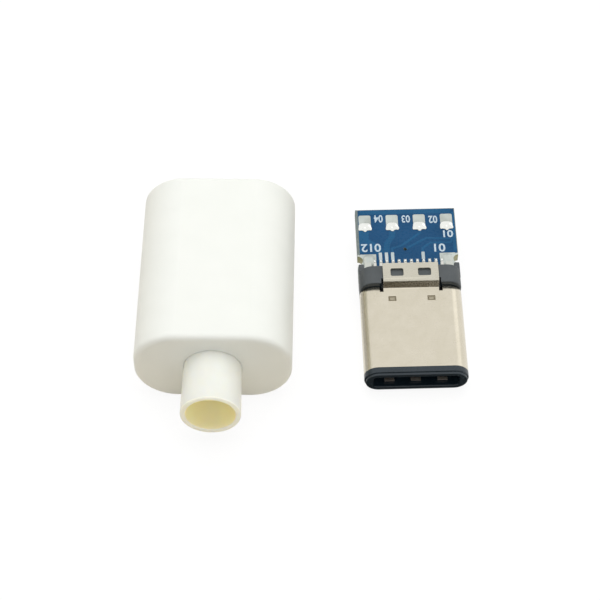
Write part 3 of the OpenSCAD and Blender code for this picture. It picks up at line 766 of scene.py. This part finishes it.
makeBlock("upperBlock", "upper_contact_module", True)
makeBlock("lowerBlock", "lower_contact_module", False)
print("rear block made")


# Stamped contacts, springs and the latch plate, copied from the frame with their edges broken

stamped = {"edge": 0.018, "merge": 0.001, "flatAngle": 2}


def breakEdges(name, node, material):
    bm = bmesh.new()
    bm.from_mesh(nodes[node].data)
    bmesh.ops.transform(bm, matrix=Matrix.Scale(1 / mm, 4) @ plugFrame.inverted(), verts=bm.verts)
    bmesh.ops.remove_doubles(bm, verts=bm.verts, dist=stamped["merge"])
    joinFlats(bm, stamped["flatAngle"])
    softenEdges(bm, stamped["edge"])
    makePiece(name, bm, [material], [node])


for row in ("upper", "lower"):
    for i in range(1, contact["count"] + 1):
        breakEdges(f"{row}Contact{i}", f"{row}_contact_{i}", "contactGold")
    breakEdges(f"{row}GroundingSpring", f"{row}_grounding_spring", "springSteel")
breakEdges("latchPlate", "latch_plate", "latchSteel")
print("contacts, springs and latch plate made")


# Wiring board

board = {"half": 4.125, "run": (9.43, 16.53), "top": 0.4, "edge": 0.03, "notchAt": 11.38,
         "notchRadius": 0.45, "viaAt": (-0.18, 12.48), "viaRadius": 0.15, "viaPoints": 32,
         "rim": (0.2, 0.06, 0.08), "sharpest": 60}
laminate = {"tones": [(0.15, 0.185, 0.185), (0.23, 0.265, 0.255)], "layers": 2.2, "waves": 1.5,
            "waveScale": 3.0, "weave": 6.0, "weaveDetail": 2.0, "roughness": (0.6, 0.8)}


def boardEdge():
    # layers of glass cloth in resin, seen on the cut sides
    material, tree, shader, vector = newFinish("boardEdge", plugFrame)
    layers = addNode(tree, "TexWave", {
        "Vector": vector, "Scale": laminate["layers"], "Distortion": laminate["waves"],
        "Detail Scale": laminate["waveScale"]}, bands_direction="Z")
    weave = addNoise(tree, vector, laminate["weave"], laminate["weaveDetail"])
    setInputs(tree, shader, {"Base Color": addRamp(tree, layers.outputs["Fac"], laminate["tones"]),
                             "Roughness": addRange(tree, weave, noiseSpan, laminate["roughness"])})
    return material


def makeBoard():
    half, top = board["half"], board["top"]
    bm = boxes(((-half, half), board["run"], (-top, top)))
    holes = bmesh.new()
    reach = (-top - past, top + past)
    for x in (-half, half):
        addDisc(holes, board["notchRadius"], (x, board["notchAt"]), reach)
    addDisc(holes, board["viaRadius"], board["viaAt"], reach, board["viaPoints"])
    bm = combine(bm, holes, "DIFFERENCE")
    softenEdges(bm, board["edge"], sharpest=board["sharpest"])
    # the mask stops short of the left, right and rear edges
    left, right, rear = board["rim"][0] - half, half - board["rim"][1], board["run"][1] - board["rim"][2]
    for x in (left, right):
        cutFaces(bm, bm.faces[:], (x, 0, 0), (1, 0, 0))
    cutFaces(bm, bm.faces[:], (0, rear, 0), (0, 1, 0))
    for face in bm.faces:
        centre = face.calc_center_median()
        masked = abs(face.normal.z) > facing and left < centre.x < right and centre.y < rear
        face.material_index = 0 if masked else 1
    makePiece("board", bm, ["maskBlue", "boardEdge"], ["circuit_board"])


finish["boardEdge"] = boardEdge()
makeBoard()
print("board made")


# Copper that shows through the mask as soft ridges; each run is its width and its corners

traces = {"height": 0.012, "steepness": 12, "roundness": 4, "runs": [
    (0.6, [(-3.38, 14.5), (-3.4, 13.4), (-2.4, 12.6), (-2.25, 12.05)]),
    (0.5, [(-1.12, 14.5), (-1.18, 13.8), (-1.64, 13.05), (-1.75, 12.05)]),
    (0.22, [(1.12, 14.5), (1.12, 14.07), (-0.48, 12.8), (-1.25, 12.6), (-1.25, 12.05)]),
    (0.22, [(3.38, 14.5), (3.75, 13.85), (3.75, 13.42), (1.62, 13.55), (0.2, 12.7), (-0.1, 12.55)]),
    (0.22, [(1.25, 12.05), (1.25, 12.55), (1.9, 13.05), (3.6, 13.05), (3.75, 13.35)]),
    (0.45, [(-3.8, 16.26), (3.8, 16.26)]),
    (0.3, [(-3.76, 16.15), (-3.76, 12.2)]),
    (0.3, [(3.92, 16.15), (3.92, 12.2)])]}


def makeTraces():
    bm = bmesh.new()
    for width, points in traces["runs"]:
        line = bpy.data.curves.new("trace", "CURVE")
        line.dimensions = "3D"
        line.bevel_depth = width / 2
        line.bevel_resolution = traces["roundness"]
        line.use_fill_caps = True
        spline = line.splines.new("POLY")
        spline.points.add(len(points) - 1)
        for point, (x, y) in zip(spline.points, points):
            point.co = (x, y, 0, 1)
        addCurve(bm, line)
    closeSeams(bm)
    for vert in bm.verts:
        rise = math.copysign(min(1, abs(vert.co.z) * traces["steepness"]), vert.co.z)
        vert.co.z = board["top"] + rise * traces["height"]
    bmesh.ops.recalc_face_normals(bm, faces=bm.faces)
    makePiece("traces", bm, ["maskOverCopper"])


makeTraces()
print("traces made")


# Tinned pads

pads = {"thickness": 0.04, "edge": 0.012, "cornerSteps": 4, "wirePitch": 2.25, "wireCount": 4,
        "wire": (1.0, 1.45), "wireEnd": 15.93, "wireCorner": 0.15, "contact": 0.27, "start": 10.15,
        "short": 11.46, "long": 12.16, "pattern": "SSSLSSSSLLLS", "contactCorner": 0.06,
        "corner": ((2.6, 3.9), (10.15, 12.0)), "ring": 0.6, "notch": 0.41, "barrel": 0.45,
        "merge": 0.001, "flatAngle": 1, "sharpest": 50}
padLevel = (board["top"], board["top"] + pads["thickness"])
wirePadPlaces = spread(pads["wireCount"], pads["wirePitch"])


def roundCorners(bm, radius):
    upright = [e for e in bm.edges if abs((e.verts[0].co - e.verts[1].co).normalized().z) > facing]
    bevelEdges(bm, upright, radius, pads["cornerSteps"])
    softenEdges(bm, pads["edge"])


def makeWirePads():
    half, start = pads["wire"][0] / 2, pads["wireEnd"] - pads["wire"][1]
    bm = boxes(*(((x - half, x + half), (start, pads["wireEnd"]), padLevel) for x in wirePadPlaces))
    roundCorners(bm, pads["wireCorner"])
    makePiece("wirePads", bm, ["padTin"], ["wire_pads"])


def makeContactPads(name, node, upper):
    # the outermost two contacts end on the corner pads
    bm = bmesh.new()
    half = pads["contact"] / 2
    for x, kind in list(zip(contactPlaces, pads["pattern"]))[1:-1]:
        end = pads["long"] if kind == "L" else pads["short"]
        addBox(bm, (x - half, x + half), (pads["start"], end), padLevel)
    roundCorners(bm, pads["contactCorner"])
    if not upper:
        lowerSide(bm)
    makePiece(name, bm, ["coolTin"], [node])


def cornerPad(way):
    # a pad on each face of the board, joined by the plating of the half hole in the board's side
    low, high = padLevel
    across, along = pads["corner"]
    spot = (way * board["half"], board["notchAt"])
    solid = disc(pads["barrel"], spot, (-high, high))
    for z in ((low, high), (-high, -low)):
        plate = boxes((sorted((way * across[0], way * across[1])), along, z))
        solid = combine(solid, plate, "UNION")
        solid = combine(solid, disc(pads["ring"], spot, z), "UNION")
    outside = boxes((sorted((spot[0], spot[0] + way * past)), along, (-past, past)))
    solid = combine(solid, outside, "DIFFERENCE")
    return combine(solid, disc(pads["notch"], spot, (-past, past)), "DIFFERENCE")


def makeCornerPads():
    bm = bmesh.new()
    for way in (-1, 1):
        mesh = toMesh("scratch", cornerPad(way))
        bm.from_mesh(mesh)
        bpy.data.meshes.remove(mesh)
    cleanMesh(bm, pads["merge"])
    joinFlats(bm, pads["flatAngle"])
    softenEdges(bm, pads["edge"], sharpest=pads["sharpest"])
    # the plating in the half holes gets the dark copy, painted shade
    for face in bm.faces:
        away = max(math.hypot(abs(v.co.x) - board["half"], v.co.y - board["notchAt"]) for v in face.verts)
        face.material_index = 1 if away < pads["notch"] + 2 * pads["edge"] else 0
    makePiece("cornerPads", bm, ["padTin", "shadedHoleGold"], ["corner_pads"])


makeWirePads()
makeContactPads("upperContactPads", "upper_contact_pads", True)
makeContactPads("lowerContactPads", "lower_contact_pads", False)
makeCornerPads()
print("pads made")


# Solder, in lumps that have wetted the pads; seeds are that of the first lump and the step to the next

solder = {"padTop": 0.44, "square": 3.2, "sink": 0.02, "slope": 1.7, "ripple": 1.6, "layer": 0.7,
          "latchAt": 3.2,
          "wire": {"size": (0.52, 0.43, 0.19), "y": 14.77, "rough": 0.06, "seeds": (3.1, 1.7),
                   "detail": 4, "scallop": 0.17, "flare": 0.07},
          "latch": {"size": (0.47, 0.58, 0.2), "y": 11.36, "rough": 0.12, "seeds": (11.3, 2.1),
                    "detail": 4},
          "tail": {"size": (0.15, 0.18, 0.16), "y": 11.25, "rough": 0.14, "seeds": (20.7, 1.3),
                   "detail": 3}}


def addLump(bm, x, lump, seed):
    # a ball pressed flat below, squared off in plan and a little uneven; its front may spread and be
    # scalloped
    power, ripple, size = solder["square"], solder["ripple"], lump["size"]
    scallop, flare = lump.get("scallop", 0), lump.get("flare", 0)
    for vert in bmesh.ops.create_icosphere(bm, subdivisions=lump["detail"], radius=1)["verts"]:
        flat = Vector((vert.co.x, vert.co.y, 0))
        if flat.length > seamGap:
            way = flat.normalized()
            flat *= (abs(way.x) ** power + abs(way.y) ** power) ** (-1 / power)
        spot = Vector((flat.x * ripple + seed, flat.y * ripple, seed * solder["layer"]))
        uneven = 1 + lump["rough"] * noise.noise(spot)
        if flat.y < 0:
            uneven += scallop * math.cos(2 * math.pi * flat.x) * abs(flat.y)
        up = vert.co.z
        rise = up ** solder["slope"] * uneven if up > 0 else up * solder["sink"] / size[2]
        vert.co.x = x + flat.x * uneven * (1 - flare * flat.y) * size[0]
        vert.co.y = lump["y"] + flat.y * uneven * size[1]
        vert.co.z = solder["padTop"] + rise * size[2]


def makeSolder(name, node, lump, places, material):
    bm = bmesh.new()
    first, step = lump["seeds"]
    for i, x in enumerate(places):
        addLump(bm, x, lump, first + step * i)
    if name.startswith("lower"):
        lowerSide(bm)
    makePiece(name, bm, [material], [node], smooth=60)


makeSolder("wireSolder", "wire_solder", solder["wire"], wirePadPlaces, "brightSolder")
latchTails = (-solder["latchAt"], solder["latchAt"])
makeSolder("latchSolder", "latch_solder", solder["latch"], latchTails, "padTin")
for row in ("upper", "lower"):
    makeSolder(f"{row}ContactSolder", f"{row}_contact_solder", solder["tail"], contactPlaces,
               "brightSolder")
print("solder made")


# Printed numbers beside the pads, read from the board's rear edge: text, place, size and breadth

printed = {"height": 0.018, "bold": 0.022, "tones": [(0.38, 0.5, 0.6), (0.6, 0.68, 0.74)], "patches": 7.0,
           "patchDetail": 3.0, "roughness": (0.5, 0.7), "labels": [
               ("04", (-2.23, 15.62), 1.0, 0.74), ("03", (0.03, 15.55), 1.0, 0.74),
               ("02", (2.28, 15.44), 1.0, 0.74), ("01", (3.36, 13.95), 0.95, 1.05),
               ("012", (-2.98, 12.7), 1.08, 1.02), ("01", (2.56, 12.58), 1.08, 1.05)]}


def printInk():
    material, tree, shader, vector = newFinish("printInk", plugFrame)
    patchy = addNoise(tree, vector, printed["patches"], printed["patchDetail"])
    setInputs(tree, shader, {"Base Color": addRamp(tree, patchy, printed["tones"]),
                             "Roughness": addRange(tree, patchy, noiseSpan, printed["roughness"])})
    return material


def makePrint():
    bm = bmesh.new()
    for text, (x, y), size, width in printed["labels"]:
        line = bpy.data.curves.new("number", "FONT")
        line.body, line.size = text, size
        line.align_x, line.align_y = "CENTER", "CENTER"
        line.extrude, line.offset = printed["height"] / 2, printed["bold"]
        place = Matrix.Translation((x, y, board["top"] + printed["height"] / 2))
        addCurve(bm, line, place @ Matrix.Rotation(math.pi, 4, "Z") @ Matrix.Diagonal((width, 1, 1, 1)))
    closeSeams(bm)
    makePiece("printedNumbers", bm, ["printInk"], smooth=20)


finish["printInk"] = printInk()
makePrint()
print("print made")


# Floor, light and camera

stage = {"floor": 4.0, "shadowTone": (0.13, 0.13, 0.13), "floorGlow": 0.89,
         "bounceTone": (0.76, 0.68, 0.535), "ambient": 0.42}
lamps = [
    {"name": "overhead", "at": (0.0, 0.12, 0.42), "size": 0.5, "power": 1.66, "tone": (1.0, 0.99, 0.97)},
    {"name": "front", "at": (0.1, -0.42, 0.3), "size": 0.4, "power": 0.25, "tone": (1.0, 0.95, 0.9)},
    {"name": "right", "at": (0.4, 0.15, 0.2), "size": 0.3, "power": 0.16, "tone": (0.9, 1.0, 0.97)},
    {"name": "left", "at": (-0.4, 0.15, 0.2), "size": 0.3, "power": 0.11, "tone": (1.0, 1.0, 0.88)}]
cards = [
    {"name": "frontCard", "at": (0.0, -0.042, 0.004), "size": (0.16, 0.022), "turn": (90, 0, 0),
     "tone": (0.032, 0.02, 0.0)},
    # painted shade on the floor before the nose, seen only in reflections
    {"name": "lowShadeCard", "at": (0.0081, -0.0231, 0.0002), "size": (0.0118, 0.0358), "turn": (0, 0, 0),
     "tone": (0.08, 0.08, 0.08)},
    # painted shade low in the gap beside the shell, seen only in reflections
    {"name": "gapShadeCard", "at": (0.0022, 0.003, 0.001), "size": (0.022, 0.002), "turn": (90, 0, 90),
     "tone": (0.57, 0.57, 0.57)},
    {"name": "topCard", "at": (0.0, 0.0, 0.5), "size": (0.25, 0.2), "turn": (0, 0, 0),
     "tone": (1.28, 1.28, 1.28)},
    {"name": "brightCard", "at": (0.228, 0.212, 0.173), "size": (0.146, 0.12), "turn": (0, 52, 0),
     "tone": (1.42, 1.42, 1.42)}]
view = {"at": (0.99, -97.212, 127.31), "aim": (-0.317, 3.325, 0.0), "lens": 118.67, "sensor": 36,
        "nearest": 0.01}


def seenDirectly(tree):
    # one for rays of the camera, of reflections and through clear things, and nought for the rest
    rays = addNode(tree, "LightPath", {}).outputs
    seen = addMath(tree, "MAXIMUM", rays["Is Camera Ray"], rays["Is Glossy Ray"])
    return addMath(tree, "MAXIMUM", seen, rays["Is Transmission Ray"])


def squareMesh(name, place, material):
    bm = bmesh.new()
    bmesh.ops.create_grid(bm, x_segments=1, y_segments=1, size=0.5)
    bmesh.ops.transform(bm, matrix=place, verts=bm.verts)
    mesh = toMesh(name, bm)
    mesh.materials.append(material)
    return mesh


def makeFloor():
    material = bpy.data.materials.new("paleFloor")
    material.use_nodes = True
    tree = material.node_tree
    tree.nodes.clear()
    bounce = addNode(tree, "BsdfDiffuse", {"Color": (*stage["bounceTone"], 1)})
    shown = addNode(tree, "BsdfDiffuse", {"Color": (*stage["shadowTone"], 1)})
    glow = addNode(tree, "Emission", {"Strength": stage["floorGlow"]})
    both = addNode(tree, "AddShader", {0: shown.outputs[0], 1: glow.outputs[0]})
    mix = addNode(tree, "MixShader", {"Fac": seenDirectly(tree), 1: bounce.outputs[0], 2: both.outputs[0]})
    addNode(tree, "OutputMaterial", {"Surface": mix.outputs[0]})
    floor = addObject("floor", squareMesh("floor", Matrix.Scale(stage["floor"], 4), material))


def makeWorld():
    world = bpy.data.worlds.new("studio")
    world.use_nodes = True
    tree = world.node_tree
    strength = addRange(tree, seenDirectly(tree), (0, 1), (stage["ambient"], 1.0))
    setInputs(tree, tree.nodes["Background"], {"Strength": strength, "Color": (1, 1, 1, 1)})
    bpy.context.scene.world = world


def aimAt(obj, target):
    obj.rotation_euler = (Vector(target) - obj.location).to_track_quat("-Z", "Y").to_euler()


def makeLamps():
    for lamp in lamps:
        data = bpy.data.lights.new(lamp["name"], "AREA")
        data.size, data.energy, data.color = lamp["size"], lamp["power"], lamp["tone"]
        made = addObject(lamp["name"], data)
        made.location = lamp["at"]
        aimAt(made, (0, 0, 0))
        made.visible_glossy = False


def makeCards():
    # cards that only show in reflections: the front card and the two bright ones stand for the studio
    # round the object, and the gap and low cards are sheets of painted shade that darken the shell's side
    # and the nose in reflection
    for card in cards:
        material = bpy.data.materials.new(card["name"])
        material.use_nodes = True
        setInputs(material.node_tree, material.node_tree.nodes["Principled BSDF"], {
            "Base Color": (0, 0, 0, 1), "Specular IOR Level": 0, "Emission Color": (*card["tone"], 1),
            "Emission Strength": 1.0})
        turn = Euler([math.radians(degrees) for degrees in card["turn"]]).to_matrix().to_4x4()
        place = Matrix.Translation(card["at"]) @ turn @ Matrix.Diagonal((*card["size"], 1, 1))
        made = addObject(card["name"], squareMesh(card["name"], place, material))
        made.visible_camera = made.visible_diffuse = False
        made.visible_shadow = made.visible_transmission = False


def makeCamera():
    data = bpy.data.cameras.new("camera")
    data.lens, data.sensor_width, data.clip_start = view["lens"], view["sensor"], view["nearest"]
    camera = addObject("camera", data)
    camera.location = Vector(view["at"]) * mm
    aimAt(camera, Vector(view["aim"]) * mm)
    bpy.context.scene.camera = camera


makeFloor()
makeWorld()
makeLamps()
makeCards()
makeCamera()
bpy.context.scene.view_settings.view_transform = "Standard"
print("stage made")
